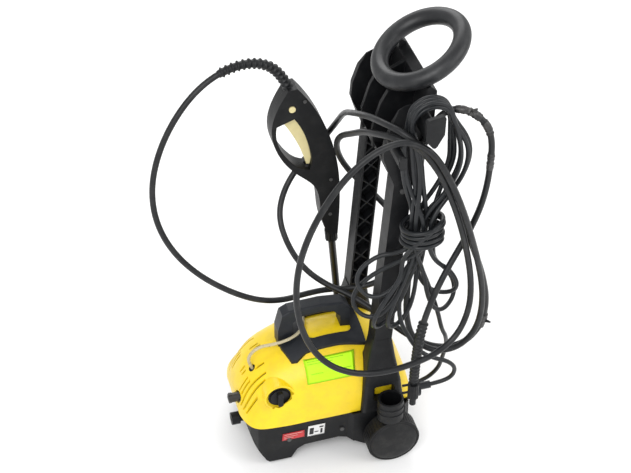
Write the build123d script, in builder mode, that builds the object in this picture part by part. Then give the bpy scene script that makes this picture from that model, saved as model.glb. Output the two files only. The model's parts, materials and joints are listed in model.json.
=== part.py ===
from build123d import *
import math
import os

os.makedirs("parts", exist_ok=True)

# Millimetres. X runs from the nose (low) to the wheels (high), near side is -Y, +Z is up.
AX = 71.0              # rear axle, from the middle of the whole machine
AXLE_Z = 50.0          # axle height, the wheel radius
SEAM_Z = 98.0          # where the hood sits on the tub
WALL = 3.0
WHEEL_R, WHEEL_W, WHEEL_Y = 50.0, 30.0, 135.0
POST_Y, POST_W, POST_D = 77.0, 35.0, 33.0
LEAN = 0.0712          # posts lean back this much per unit of height
POST_TOP = 612.0
RING_X, RING_Z, RING_R, RING_T, RING_TILT = AX + 68, 808.0, 73.0, 15.0, 27.3
PUMP_Z = 132.0         # height of the motor and pump axis
GUN_Y = 143.0          # plane of the stored gun and lance
GUN_HALF = 18.0
LANCE_SLOPE = 0.084
HOSE_D, CORD_D, TUBE_D = 11.0, 8.0, 6.0


def post_x(z):
    """Middle of the posts at a height."""
    return AX - 14 + LEAN * (z - 200)


def lance_x(z):
    """Axis of the stored lance at a height."""
    return AX - 39 + (332 - z) * LANCE_SLOPE


# ---------------------------------------------------------------- hood and tub
# stations along X: place, half width at the seam, half width of the arch, top height
HOOD_STATIONS = [(-270, 50, 34, 122), (-263, 76, 52, 146), (-248, 95, 70, 172), (-226, 101, 85, 194),
                 (-195, 103, 96, 211), (-160, 103, 102, 226), (-110, 103, 104, 238), (-50, 102, 103, 236),
                 (-5, 100, 99, 220), (28, 96, 91, 188), (50, 90, 83, 140)]
ARCH = [(0.90, 0.56), (0.70, 0.79), (0.38, 0.945)]     # the arch, as parts of its half width and height


def pod(inset, floor):
    """The rounded body above the seam, pulled in by inset and cut flat at floor."""
    middle = -110
    with BuildPart() as shape:
        for x, seam, arch, top in HOOD_STATIONS:
            place = middle + (x - middle) * (1 - inset / 160)
            low, wide, tall = seam - inset, arch - inset, top - inset - floor
            side = [(low, floor), ((low + wide) / 2 - 0.02 * wide, floor + 0.28 * tall)]
            side += [(a * wide, floor + b * tall) for a, b in ARCH]
            with BuildSketch(Plane.YZ.offset(AX + place)):
                with BuildLine():
                    Spline([(-y, z) for y, z in side] + [(0, floor + tall)] + side[::-1])
                    Line((low, floor), (-low, floor))
                make_face()
        loft()
    return shape.part


def plan(inset, low, high):
    """The outline of the tub seen from above, as a block from low to high."""
    half = [(-264 + inset, 44), (-258 + inset, 74), (-247 + inset, 94), (-232, 102 - inset),
            (-76, 102 - inset), (-66, 112 - inset), (34, 112 - inset), (47 - inset, 100)]
    with BuildPart() as block:
        with BuildSketch(Plane.XY.offset(low)) as outline:
            with BuildLine():
                Polyline([(AX + x, y) for x, y in half] + [(AX + x, -y) for x, y in half[::-1]], close=True)
            make_face()
            fillet(outline.vertices().filter_by_position(Axis.X, AX - 266, AX - 225), 9)
        extrude(amount=high - low)
    return block.part


def foot_block(side, grow):
    """The flared foot of one mast post."""
    with BuildPart() as shape:
        for z, x, y, length, width in ((98, -9, 87, 84, 50), (165, -11, 85, 70, 50),
                                       (215, -11, 81, 52, 42), (262, -9.6, 77, 36, 36)):
            with BuildSketch(Plane.XY.offset(z)):
                with Locations((AX + x, side * y)):
                    RectangleRounded(length + 2 * grow, width + 2 * grow, 8)
        loft(ruled=True)
    return shape.part


hood_outer = pod(0, SEAM_Z)
hood_inner = pod(WALL, SEAM_Z)
tub_plan = plan(3, 4, SEAM_Z)
tub_void = plan(3 + WALL, 52, SEAM_Z)
feet_cut = [foot_block(side, 0.4) for side in (-1, 1)]

PORT = Location((AX - 231.5, -21, 171), (0, -24, 0))   # detergent port, square to the hood
SW = (AX - 201, 159)                                   # switch axis
# vent slots: place across, how far back, low end, high end
VENTS = [(30, -246, 138, 169), (38.5, -244, 137, 171), (47, -216, 117, 191), (57, -220, 115, 184),
         (67, -238, 114, 159)]
SHORT_VENTS = [(-29, -215, 184, 198), (-14, -247, 161, 172), (-5, -245, 160, 174), (13, -211, 194, 202),
               (21, -212, 187, 199)]

with BuildPart() as hood:
    add(hood_outer)
    with Locations(Location((SW[0], -73, SW[1]), (90, 0, 0))):    # dish round the switch
        Cylinder(29, 30)
        with Locations((0, 0, 15)):
            Cone(22, 27, 5, mode=Mode.SUBTRACT)
    add(hood_inner, mode=Mode.SUBTRACT)
    with Locations(Location((SW[0], -73, SW[1]), (90, 0, 0))):
        Cylinder(29, 30)
        Cylinder(21.3, 40, mode=Mode.SUBTRACT)
        with Locations((0, 0, 14)):
            Cone(22, 27.5, 6, mode=Mode.SUBTRACT)
    for block in feet_cut:
        add(block, mode=Mode.SUBTRACT)
    slots = [(side * y, x, low, high) for y, x, low, high in VENTS for side in (-1, 1)]
    for y, x, low, high in slots + SHORT_VENTS:
        with Locations((AX + (x - 285) / 2, y, (low + high) / 2)):
            Box(x + 285, 3.6, high - low, mode=Mode.SUBTRACT)
    with Locations(PORT):                                         # detergent port
        Cylinder(7, 30, mode=Mode.SUBTRACT)
    with Locations(Location((AX - 262, -30, 124), (0, 90, 0))):   # outlet stub
        Cylinder(12, 40, mode=Mode.SUBTRACT)
hood.part.label = "hood"
export_step(hood.part, "parts/hood.step")

with BuildPart() as base_tub:
    with BuildSketch(Plane.XZ.offset(-125)) as side_shape:
        with BuildLine():
            Polyline((AX - 266, SEAM_Z), (AX - 262, 84), (AX - 250, 44), (AX - 232, 12), (AX - 226, 6),
                     (AX - 184, 6), (AX - 172, 26), (AX - 158, 34), (AX - 92, 36), (AX - 62, 26),
                     (AX - 44, 14), (AX + 28, 14), (AX + 44, 38), (AX + 47, SEAM_Z), close=True)
        make_face()
    extrude(amount=250)
    add(tub_plan, mode=Mode.INTERSECT)
    add(tub_void, mode=Mode.SUBTRACT)
    with Locations((AX - 215, 0, 22)):                            # space between the front legs
        Box(140, 104, 44, mode=Mode.SUBTRACT)
    with Locations(Location((AX, 0, AXLE_Z), (90, 0, 0))):
        Cylinder(12, 223)
        Cylinder(5.1, 300, mode=Mode.SUBTRACT)
    for side in (-1, 1):
        add(feet_cut[(side + 1) // 2], mode=Mode.SUBTRACT)
        for x in (-188, -86):                                     # screw seats in the sides
            with Locations(Location((AX + x, side * 104, 57), (90, 0, 0))):
                Cylinder(2, 32, mode=Mode.SUBTRACT)
    with Locations(Location((AX - 256, -30, 68), (0, 90, 0))):    # inlet stub
        Cylinder(12.2, 36, mode=Mode.SUBTRACT)
    with Locations(Location((AX + 46, -45, 78), (0, 90, 0))):     # cord gland
        Cylinder(8, 20, mode=Mode.SUBTRACT)
base_tub.part.label = "base_tub"
export_step(base_tub.part, "parts/base_tub.step")

with BuildPart() as front_feet:
    for side in (-1, 1):
        with BuildSketch(Plane.XY):
            with Locations((AX - 205, side * 74)):
                RectangleRounded(40, 34, 8)
        extrude(amount=6)
front_feet.part.label = "front_feet"
export_step(front_feet.part, "parts/front_feet.step")

with BuildPart() as side_screws:
    for side in (-1, 1):
        for x in (-188, -86):
            with Locations(Location((AX + x, side * 100.6, 57), (90, 0, 0))):
                Cylinder(4, 3.2)
            with Locations(Location((AX + x, side * 94, 57), (90, 0, 0))):
                Cylinder(2, 10.2)
side_screws.part.label = "side_screws"
export_step(side_screws.part, "parts/side_screws.step")

# ---------------------------------------------------------------- carry handle
saddle_outer = pod(-5, SEAM_Z)
with BuildPart() as carry_handle:
    add(saddle_outer)
    half = [(-184, 0), (-181, 24), (-170, 56), (-160, 59), (-141, 51), (-77, 51), (-42, 54), (-28, 54)]
    with BuildSketch(Plane.XY.offset(150)) as saddle_plan:        # outline seen from above
        with BuildLine():
            Polyline([(AX + x, y) for x, y in half] + [(AX + x, -y) for x, y in half[:0:-1]], close=True)
        make_face()
    extrude(amount=150, mode=Mode.INTERSECT)
    with BuildSketch(Plane.XY.offset(190)):                       # window over the hood top
        with Locations((AX - 90, 0)):
            RectangleRounded(84, 62, 12)
    extrude(amount=100, mode=Mode.SUBTRACT)
    with BuildSketch(Plane.XZ.offset(14)) as grip:                # the bar and its two legs
        with BuildLine():
            Polyline((AX - 184, 205), (AX - 184, 252), (AX - 175, 288), (AX - 162, 295), (AX - 101, 298),
                     (AX - 60, 293), (AX - 49, 282), (AX - 46, 205), (AX - 66, 205), (AX - 66, 262),
                     (AX - 76, 274), (AX - 101, 279), (AX - 146, 276), (AX - 156, 266), (AX - 158, 205),
                     close=True)
        make_face()
        fillet(grip.vertices().filter_by_position(Axis.Z, 260, 297), 5)
    extrude(amount=-28)
    fillet(carry_handle.edges().filter_by_position(Axis.Z, 274, 299).filter_by(
        lambda edge: abs(abs(edge.center().Y) - 14) < 0.01 and edge.length > 8), 4)
    add(hood_outer, mode=Mode.SUBTRACT)
carry_handle.part.label = "carry_handle"
export_step(carry_handle.part, "parts/carry_handle.step")

# ---------------------------------------------------------------- switch
with BuildPart() as switch_bezel:
    with Locations(Location((SW[0], -76, SW[1]), (90, 0, 0))):
        Cylinder(21, 18)
        with Locations((0, 0, 6)):
            Cylinder(18.4, 8, mode=Mode.SUBTRACT)
        Cylinder(4.06, 40, mode=Mode.SUBTRACT)
switch_bezel.part.label = "switch_bezel"
export_step(switch_bezel.part, "parts/switch_bezel.step")

with BuildPart() as switch_knob:
    with Locations(Location((SW[0], -83.8, SW[1]), (90, 0, 0))):
        Cylinder(17.6, 7)
    with BuildSketch(Plane.XZ.offset(87)):                        # grip bar
        with Locations(SW):
            RectangleRounded(10, 33, 4.5)
    extrude(amount=8)
    with Locations(Location((SW[0], -70, SW[1]), (90, 0, 0))):
        Cylinder(4, 22)
switch_knob.part.label = "switch_knob"
export_step(switch_knob.part, "parts/switch_knob.step")

with BuildPart() as switch_block:
    with Locations((SW[0], -55.5, SW[1])):
        Box(30, 22, 24)
    with Locations(Location((SW[0], -62, SW[1]), (90, 0, 0))):
        Cylinder(4.3, 24, mode=Mode.SUBTRACT)
switch_block.part.label = "switch_block"
export_step(switch_block.part, "parts/switch_block.step")

# ---------------------------------------------------------------- wheels
for side, name in ((-1, "near"), (1, "far")):
    with BuildPart() as wheel:
        with Locations(Location((AX, side * WHEEL_Y, AXLE_Z), (90, 0, 0))):
            Cylinder(WHEEL_R, WHEEL_W)
            with Locations((0, 0, side * 9)):                     # hollow on the inner side
                Cylinder(42, 13, mode=Mode.SUBTRACT)
            with Locations((0, 0, side * 8)):
                Cylinder(11, 14)
            with PolarLocations(WHEEL_R + 0.6, 48):
                Box(2.4, 2.6, 24, mode=Mode.SUBTRACT)
            Cylinder(5.06, 60, mode=Mode.SUBTRACT)
    wheel.part.label = "wheel_" + name
    export_step(wheel.part, "parts/wheel_" + name + ".step")

with BuildPart() as wheel_axle:
    with Locations(Location((AX, 0, AXLE_Z), (90, 0, 0))):
        Cylinder(5, 306)
wheel_axle.part.label = "wheel_axle"
export_step(wheel_axle.part, "parts/wheel_axle.step")

with BuildPart() as axle_caps:
    for side in (-1, 1):
        with Locations(Location((AX, side * 153.7, AXLE_Z), (90, 0, 0))):
            Cylinder(13, 7)
        with Locations(Location((AX, side * 150.5, AXLE_Z), (90, 0, 0))):
            Cylinder(5, 7, mode=Mode.SUBTRACT)
axle_caps.part.label = "axle_caps"
export_step(axle_caps.part, "parts/axle_caps.step")

# ---------------------------------------------------------------- mast
for side, name in ((-1, "near"), (1, "far")):
    inner = side * (POST_Y - POST_W / 2)
    with BuildPart() as mast_post:
        add(foot_block(side, 0))
        with BuildSketch(Plane.XZ.offset(-inner)):
            with BuildLine():
                Polyline((post_x(240) - POST_D / 2, 240), (post_x(240) + POST_D / 2, 240),
                         (post_x(POST_TOP) + POST_D / 2, POST_TOP),
                         (post_x(POST_TOP) - POST_D / 2, POST_TOP), close=True)
            make_face()
        extrude(amount=-side * POST_W)
        with BuildSketch(Plane.XZ.offset(-inner)):                # hollow on the inner face
            with BuildLine():
                Polyline((post_x(268) - 13.5, 268), (post_x(268) + 13.5, 268),
                         (post_x(604) + 13.5, 604), (post_x(604) - 13.5, 604), close=True)
            make_face()
        extrude(amount=-side * 24, mode=Mode.SUBTRACT)
        with BuildSketch(Plane.XZ.offset(-inner - side * 3)):     # crossed ribs
            for k in range(8):
                z = 290 + 41 * k
                with Locations(Location((post_x(z), z), 43), Location((post_x(z), z), -43)):
                    Rectangle(38.5, 2.4)
        extrude(amount=-side * 22)
        with BuildSketch(Plane.XZ.offset(-side * 119)):           # window low in the foot
            with Locations((AX - 9, 142)):
                RectangleRounded(40, 34, 6)
        extrude(amount=side * 26, mode=Mode.SUBTRACT)
        with Locations((post_x(597), side * 92, 597)):
            with Locations(Location((0, 0, 0), (90, 0, 0))):
                Cylinder(2.5, 16, mode=Mode.SUBTRACT)
    mast_post.part.label = "mast_post_" + name
    export_step(mast_post.part, "parts/mast_post_" + name + ".step")

    cup_x, cup_y, cup_low, cup_r = (-4, 134.8, 104, 22) if side < 0 else (-16, GUN_Y, 100.8, 17)
    with BuildPart() as lance_cup:
        with Locations((AX + cup_x, side * (cup_y - 14 + 111.8) / 2, 114)):
            Box(24, cup_y - 14 - 111.8, 18)
        for outer in (cup_r, cup_r - 4):
            with BuildSketch(Plane.XY.offset(cup_low + (cup_r - outer) * 0.75)):
                with Locations((AX + cup_x, side * cup_y)):
                    SlotOverall(2 * outer + (4 if side < 0 else 16), outer * 2)
            extrude(amount=150, mode=Mode.ADD if outer == cup_r else Mode.SUBTRACT)
        with BuildSketch(Plane.XZ.offset(-side * 90)):            # rim cut low towards the post
            with BuildLine():
                Polyline((AX + cup_x - 40, 300), (AX + cup_x - 40, 150), (AX + cup_x + 40, 150),
                         (AX + cup_x + 40, 300), close=True)
            make_face()
        extrude(amount=side * -90, mode=Mode.SUBTRACT)
    lance_cup.part.label = "lance_cup_" + name
    export_step(lance_cup.part, "parts/lance_cup_" + name + ".step")

with BuildPart() as mast_head:
    with BuildSketch(Plane.XZ.offset(-97)) as head_side:
        with BuildLine():
            Polyline((AX - 1, POST_TOP), (AX - 12, 640), (AX - 22, 672), (AX - 20, 700), (AX - 8, 735),
                     (AX + 4, 757), (AX + 60, 786), (AX + 70, 778), (AX + 56, 700), (AX + 36, POST_TOP),
                     close=True)
        make_face()
        fillet(head_side.vertices().filter_by_position(Axis.X, AX - 30, AX - 5), 10)
    extrude(amount=194)
    with BuildSketch(Plane.XZ.offset(-86)):                       # three deep sockets
        with BuildLine():
            Polyline((AX - 40, 668), (AX + 2, 655), (AX + 30, 668), (AX + 46, 720), (AX + 56, 800),
                     (AX - 40, 800), close=True)
        make_face()
    extrude(amount=172, mode=Mode.SUBTRACT)
    for y in (-29, 29):                                           # fins between them
        with BuildSketch(Plane.XZ.offset(-y - 4)):
            with BuildLine():
                Polyline((AX - 20, 650), (AX - 21, 690), (AX - 8, 735), (AX + 4, 757), (AX + 58, 785),
                         (AX + 50, 650), close=True)
            make_face()
        extrude(amount=8)
    with BuildSketch(Plane.YZ.offset(AX - 60)):                   # shoulders drawn in under the ring
        for side in (-1, 1):
            with BuildLine():
                Polyline((side * 98, 728), (side * 74, 800), (side * 110, 800), close=True)
            make_face()
    extrude(amount=200, mode=Mode.SUBTRACT)
    with Locations(Location((RING_X, 0, RING_Z), (0, -RING_TILT, 0))):
        with Locations((0, 0, 20)):                               # open inside the ring
            Cylinder(RING_R - 4, 90, mode=Mode.SUBTRACT)
        Torus(RING_R, RING_T, mode=Mode.SUBTRACT)
mast_head.part.label = "mast_head"
export_step(mast_head.part, "parts/mast_head.step")

with BuildPart() as mast_bolts:
    for side in (-1, 1):
        with Locations(Location((post_x(597), side * 96, 597), (90, 0, 0))):
            Cylinder(5, 3)
        with Locations(Location((post_x(597), side * 91, 597), (90, 0, 0))):
            Cylinder(2.5, 11)
mast_bolts.part.label = "mast_bolts"
export_step(mast_bolts.part, "parts/mast_bolts.step")

with BuildPart() as ring_handle:
    with Locations(Location((RING_X, 0, RING_Z), (0, -RING_TILT, 0))):
        Torus(RING_R, RING_T)
ring_handle.part.label = "ring_handle"
export_step(ring_handle.part, "parts/ring_handle.step")

HOOK = (AX + 40, 755)
with BuildPart() as cable_hook:
    with BuildSketch(Plane.XZ.offset(97)):
        with Locations((HOOK[0] - 4, HOOK[1] - 4)):
            RectangleRounded(18, 34, 6)
    extrude(amount=60)
    with BuildSketch(Plane.XZ.offset(157)) as shield:             # shield at the end of the neck
        with BuildLine():
            Polyline((HOOK[0] - 16, HOOK[1] + 28), (HOOK[0] + 16, HOOK[1] + 34),
                     (HOOK[0] + 15, HOOK[1] - 2), (HOOK[0], HOOK[1] - 30), (HOOK[0] - 16, HOOK[1] - 10),
                     close=True)
        make_face()
        fillet(shield.vertices(), 5)
    extrude(amount=8)
cable_hook.part.label = "cable_hook"
export_step(cable_hook.part, "parts/cable_hook.step")

with BuildPart() as hose_peg:
    with BuildSketch(Plane.XZ.offset(97)):
        with Locations((AX - 11, 706)):
            RectangleRounded(14, 18, 6)
    extrude(amount=64)
    with BuildSketch(Plane.XZ.offset(158)):
        with Locations((AX - 11, 707)):
            RectangleRounded(12, 24, 5)
    extrude(amount=6)
hose_peg.part.label = "hose_peg"
export_step(hose_peg.part, "parts/hose_peg.step")

# ---------------------------------------------------------------- motor and pump, axis along X
def along_x(x):
    """A place on the motor axis, turned so that cylinders lie along X."""
    return Location((AX + x, 0, PUMP_Z), (0, 90, 0))


with BuildPart() as motor_stator:
    with Locations(along_x(-92)):
        Cylinder(45, 56)
        Cylinder(27, 56, mode=Mode.SUBTRACT)
    for y in (-30, 30):
        with Locations((AX - 92, y, 76.5)):
            Box(40, 12, 49)
    with Locations(along_x(-92)):
        Cylinder(27, 56, mode=Mode.SUBTRACT)
motor_stator.part.label = "motor_stator"
export_step(motor_stator.part, "parts/motor_stator.step")

with BuildPart() as motor_rotor:
    with Locations(along_x(-92)):
        Cylinder(26.2, 52)
    with Locations(along_x(-58)):
        Cylinder(13, 14)
    with Locations(along_x(-87)):
        Cylinder(6, 130)
motor_rotor.part.label = "motor_rotor"
export_step(motor_rotor.part, "parts/motor_rotor.step")

with BuildPart() as motor_endbell:
    with Locations(along_x(-44)):
        Cylinder(45, 8)
        Cylinder(6.06, 20, mode=Mode.SUBTRACT)
    for side in (-1, 1):
        with Locations((AX - 56, side * 38, PUMP_Z)):
            Box(16, 10, 20)
    with Locations((AX - 44, 0, 74.5)):
        Box(8, 50, 45)
    with Locations(along_x(-44)):
        Cylinder(6.06, 20, mode=Mode.SUBTRACT)
motor_endbell.part.label = "motor_endbell"
export_step(motor_endbell.part, "parts/motor_endbell.step")

with BuildPart() as brush_holders:
    for side in (-1, 1):
        with Locations((AX - 58, side * 20, PUMP_Z)):
            Box(8, 12, 8)
        with Locations((AX - 58, side * 29, PUMP_Z)):
            Box(10, 7.9, 10)
brush_holders.part.label = "brush_holders"
export_step(brush_holders.part, "parts/brush_holders.step")

with BuildPart() as cooling_fan:
    with Locations(along_x(-30)):
        Cylinder(40, 2)
    with Locations(along_x(-33)):
        Cylinder(12, 8)
        with PolarLocations(25, 9):
            Box(28, 1.6, 8)
    with Locations(along_x(-32)):
        Cylinder(6, 30, mode=Mode.SUBTRACT)
cooling_fan.part.label = "cooling_fan"
export_step(cooling_fan.part, "parts/cooling_fan.step")

with BuildPart() as swash_plate:
    with Locations(along_x(-158)):
        Cylinder(30, 16)
    with Locations(Location((AX - 168, 0, PUMP_Z), (0, 82, 0))):
        Box(120, 120, 8, mode=Mode.SUBTRACT)
    with Locations(along_x(-146)):
        Cylinder(9, 10)
    with Locations(along_x(-148)):
        Cylinder(6, 40, mode=Mode.SUBTRACT)
swash_plate.part.label = "swash_plate"
export_step(swash_plate.part, "parts/swash_plate.step")

with BuildPart() as gear_case:
    with Locations(along_x(-146)):
        Cylinder(40, 48)
        Cylinder(35, 48, mode=Mode.SUBTRACT)
    with Locations(along_x(-124)):
        Cylinder(40, 6)
        Cylinder(6.06, 10, mode=Mode.SUBTRACT)
    for y in (-20, 20):
        with Locations((AX - 146, y, 76)):
            Box(36, 12, 48)
    with Locations(along_x(-148)):
        Cylinder(35, 42, mode=Mode.SUBTRACT)
gear_case.part.label = "gear_case"
export_step(gear_case.part, "parts/gear_case.step")

PISTONS = [(17 * math.cos(a), 17 * math.sin(a)) for a in (math.pi / 2, math.pi * 7 / 6, math.pi * 11 / 6)]
with BuildPart() as pump_block:
    with Locations(along_x(-194)):
        Cylinder(37, 48)
    for y, z in PISTONS:
        with Locations(Location((AX - 194, y, PUMP_Z + z), (0, 90, 0))):
            Cylinder(5.05, 60, mode=Mode.SUBTRACT)
        with Locations(Location((AX - 176, y, PUMP_Z + z), (0, 90, 0))):
            Cylinder(9, 14, mode=Mode.SUBTRACT)
pump_block.part.label = "pump_block"
export_step(pump_block.part, "parts/pump_block.step")

with BuildPart() as pistons:
    for y, z in PISTONS:
        with Locations(Location((AX - 196, y, PUMP_Z + z), (0, 90, 0))):
            Cylinder(5, 42)
        with Locations(Location((AX - 175.2, y, PUMP_Z + z), (0, 90, 0))):
            Cylinder(7, 3)
pistons.part.label = "pistons"
export_step(pistons.part, "parts/pistons.step")

with BuildPart() as piston_springs:
    for y, z in PISTONS:
        with Locations(Location((AX - 179.6, y, PUMP_Z + z), (0, 90, 0))):
            Cylinder(8, 5.4)
            Cylinder(5.6, 6, mode=Mode.SUBTRACT)
piston_springs.part.label = "piston_springs"
export_step(piston_springs.part, "parts/piston_springs.step")

with BuildPart() as pump_head:
    with Locations((AX - 231.2, 0, PUMP_Z - 5)):
        Box(26, 74, 56)
    fillet(pump_head.edges().filter_by(Axis.X), 12)
    with Locations(Location((AX - 240, -30, 124), (0, 90, 0))):
        Cylinder(5, 16, mode=Mode.SUBTRACT)
    with Locations((AX - 236, -24, 108)):
        Cylinder(4, 24, mode=Mode.SUBTRACT)
pump_head.part.label = "pump_head"
export_step(pump_head.part, "parts/pump_head.step")

with BuildPart() as outlet_connector:                             # high-pressure outlet
    with Locations(Location((AX - 254.5, -30, 124), (0, 90, 0))):
        Cylinder(11, 20)
    with Locations(Location((AX - 274, -30, 124), (0, 90, 0))):
        Cylinder(9, 20)
    with Locations(Location((AX - 282, -30, 124), (0, 90, 0))):
        Cylinder(8, 7)
        with PolarLocations(9, 2):
            Box(4, 6, 5)
    with Locations(Location((AX - 265, -30, 124), (0, 90, 0))):
        Cylinder(5, 60, mode=Mode.SUBTRACT)
outlet_connector.part.label = "outlet_connector"
export_step(outlet_connector.part, "parts/outlet_connector.step")

with BuildPart() as inlet_connector:                              # garden hose inlet
    with Locations(Location((AX - 258, -30, 68), (0, 90, 0))):
        Cylinder(8, 44)
    with Locations(Location((AX - 274, -30, 68), (0, 90, 0))):
        Cylinder(12, 16)
    with Locations((AX - 236, -24, 79.5)):
        Cylinder(8, 39)
    with Locations(Location((AX - 262, -30, 68), (0, 90, 0))):
        Cylinder(5, 44, mode=Mode.SUBTRACT)
    with Locations((AX - 236, -24, 82)):
        Cylinder(4, 40, mode=Mode.SUBTRACT)
inlet_connector.part.label = "inlet_connector"
export_step(inlet_connector.part, "parts/inlet_connector.step")

with BuildPart() as capacitor:
    with Locations(Location((AX - 100, 66, 108), (0, 90, 0))):
        Cylinder(16, 56)
    with Locations((AX - 100, 66, 73.5)):
        Box(30, 20, 43)
capacitor.part.label = "capacitor"
export_step(capacitor.part, "parts/capacitor.step")

with BuildPart() as cord_gland:
    with Locations(Location((AX + 47.5, -45, 78), (0, 90, 0))):
        Cylinder(8, 17)
        with Locations((0, 0, 6.5)):
            Cylinder(11, 4)
        Cylinder(4, 40, mode=Mode.SUBTRACT)
cord_gland.part.label = "cord_gland"
export_step(cord_gland.part, "parts/cord_gland.step")

with BuildPart() as detergent_port:
    with Locations(PORT):
        Cylinder(7, 20)
        Cylinder(3.1, 30, mode=Mode.SUBTRACT)
detergent_port.part.label = "detergent_port"
export_step(detergent_port.part, "parts/detergent_port.step")

# ---------------------------------------------------------------- gun and lance
def gun_outline():
    """Side view of the stored gun, handle up, with its trigger guard."""
    with BuildSketch(Plane.XZ.offset(-GUN_Y)) as shape:
        with BuildLine():
            back = Spline((AX - 106, 678), (AX - 74, 630), (AX - 43, 552), (AX - 31, 490),
                          (AX - 28, 400), (AX - 31, 340))
            Line(back @ 1, (AX - 47, 340))
            front = Spline((AX - 47, 340), (AX - 64, 400), (AX - 76, 460), (AX - 106, 492),
                           (AX - 142, 544), (AX - 153, 600), (AX - 134, 656), (AX - 122, 676))
            Line(front @ 1, back @ 0)
        make_face()
        with BuildLine():
            Spline((AX - 144, 604), (AX - 142, 566), (AX - 124, 530), (AX - 104, 508), (AX - 84, 500))
            Line((AX - 84, 500), (AX - 80, 520))
            Spline((AX - 80, 520), (AX - 84, 545), (AX - 96, 585), (AX - 112, 616))
            Line((AX - 112, 616), (AX - 144, 604))
        make_face(mode=Mode.SUBTRACT)
    return shape.sketch


gun_face = gun_outline()
TRIGGER_PIN = (AX - 74, 512)
with BuildPart() as trigger_room:                                 # where the trigger travels
    with BuildSketch(Plane.XZ.offset(-GUN_Y - 8)):
        with BuildLine():
            Polyline((AX - 118, 624), (AX - 76, 619), (AX - 58, 560), (AX - 60, 500), (AX - 90, 496),
                     (AX - 96, 560), close=True)
        make_face()
    extrude(amount=16)

for side, name in ((-1, "near"), (1, "far")):
    with BuildPart() as gun_shell:
        extrude(gun_face, amount=-side * GUN_HALF, dir=(0, -1, 0))
        add(trigger_room.part, mode=Mode.SUBTRACT)
        with Locations(Location((TRIGGER_PIN[0], GUN_Y, TRIGGER_PIN[1]), (90, 0, 0))):
            Cylinder(3.05, 28, mode=Mode.SUBTRACT)
        with Locations(Location((AX - 116, GUN_Y, 638), (90, 0, 0))):   # lock button
            Cylinder(6.06, 60, mode=Mode.SUBTRACT)
        with Locations(Location((AX - 53, GUN_Y, 440), (0, -4.8, 0))):  # valve room
            Cylinder(9, 90, mode=Mode.SUBTRACT)
        with Locations(Location((lance_x(350), GUN_Y, 350), (0, -4.8, 0))):
            Cylinder(5.5, 40, mode=Mode.SUBTRACT)
        with Locations(Location((AX - 116, GUN_Y, 668), (0, -22, 0))):  # hose entry
            Cylinder(5.6, 34, mode=Mode.SUBTRACT)
        for x, z in ((-93, 650), (-45, 470), (-46, 390)):
            with Locations(Location((AX + x, GUN_Y, z), (90, 0, 0))):
                Cylinder(1.6, 60, mode=Mode.SUBTRACT)
    gun_shell.part.label = "gun_shell_" + name
    export_step(gun_shell.part, "parts/gun_shell_" + name + ".step")

with BuildPart() as gun_screws:
    for x, z in ((-93, 650), (-45, 470), (-46, 390)):
        with Locations(Location((AX + x, GUN_Y - 8, z), (90, 0, 0))):
            Cylinder(1.6, 20)
        with Locations(Location((AX + x, GUN_Y - GUN_HALF - 0.75, z), (90, 0, 0))):
            Cylinder(3.2, 1.5)
gun_screws.part.label = "gun_screws"
export_step(gun_screws.part, "parts/gun_screws.step")

with BuildPart() as gun_trigger:
    with BuildSketch(Plane.XZ.offset(-GUN_Y - 6.5)):
        with BuildLine():
            Spline((AX - 130, 604), (AX - 112, 572), (AX - 99, 542), (AX - 88, 506))
            Line((AX - 88, 506), (AX - 68, 504))
            Spline((AX - 68, 504), (AX - 70, 526), (AX - 84, 566), (AX - 104, 612))
            Line((AX - 104, 612), (AX - 130, 604))
        make_face()
    extrude(amount=13)
    with Locations(Location((TRIGGER_PIN[0], GUN_Y, TRIGGER_PIN[1]), (90, 0, 0))):
        Cylinder(3, 27)
gun_trigger.part.label = "gun_trigger"
export_step(gun_trigger.part, "parts/gun_trigger.step")

with BuildPart() as gun_lock_button:
    with Locations(Location((AX - 116, GUN_Y - 2, 638), (90, 0, 0))):
        Cylinder(6, 37)
gun_lock_button.part.label = "gun_lock_button"
export_step(gun_lock_button.part, "parts/gun_lock_button.step")

with BuildPart() as gun_valve:
    with Locations(Location((AX - 53, GUN_Y, 440), (0, -4.8, 0))):
        Cylinder(8.6, 84)
        Cylinder(3, 84, mode=Mode.SUBTRACT)
gun_valve.part.label = "gun_valve"
export_step(gun_valve.part, "parts/gun_valve.step")


def lance_at(z):
    """A place on the lance axis, leaning with it."""
    return Location((lance_x(z), GUN_Y, z), (0, -math.degrees(math.atan(LANCE_SLOPE)), 0))


with BuildPart() as gun_collar:
    with Locations(lance_at(327)):
        Cylinder(12, 24)
        Cylinder(7.2, 24, mode=Mode.SUBTRACT)
        with PolarLocations(12, 10):
            Cylinder(1.6, 24, mode=Mode.SUBTRACT)
gun_collar.part.label = "gun_collar"
export_step(gun_collar.part, "parts/gun_collar.step")

with BuildPart() as lance_tube:
    with Locations(lance_at(235)):
        Cylinder(7, 204)
    with Locations(lance_at(345)):
        Cylinder(5.2, 18)
    with Locations(lance_at(250)):
        Cylinder(3, 260, mode=Mode.SUBTRACT)
    with Locations(lance_at(140)):
        Cylinder(4.06, 14.2, mode=Mode.SUBTRACT)
lance_tube.part.label = "lance_tube"
export_step(lance_tube.part, "parts/lance_tube.step")

with BuildPart() as lance_nozzle:
    with Locations(lance_at(118.6)):
        Cylinder(10, 26.8)
    with Locations(lance_at(138)):
        Cylinder(4, 14)
    with Locations(lance_at(120)):
        Cylinder(1.5, 60, mode=Mode.SUBTRACT)
    with Locations(lance_at(106)):
        Box(30, 4, 8, mode=Mode.SUBTRACT)
lance_nozzle.part.label = "lance_nozzle"
export_step(lance_nozzle.part, "parts/lance_nozzle.step")

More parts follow.
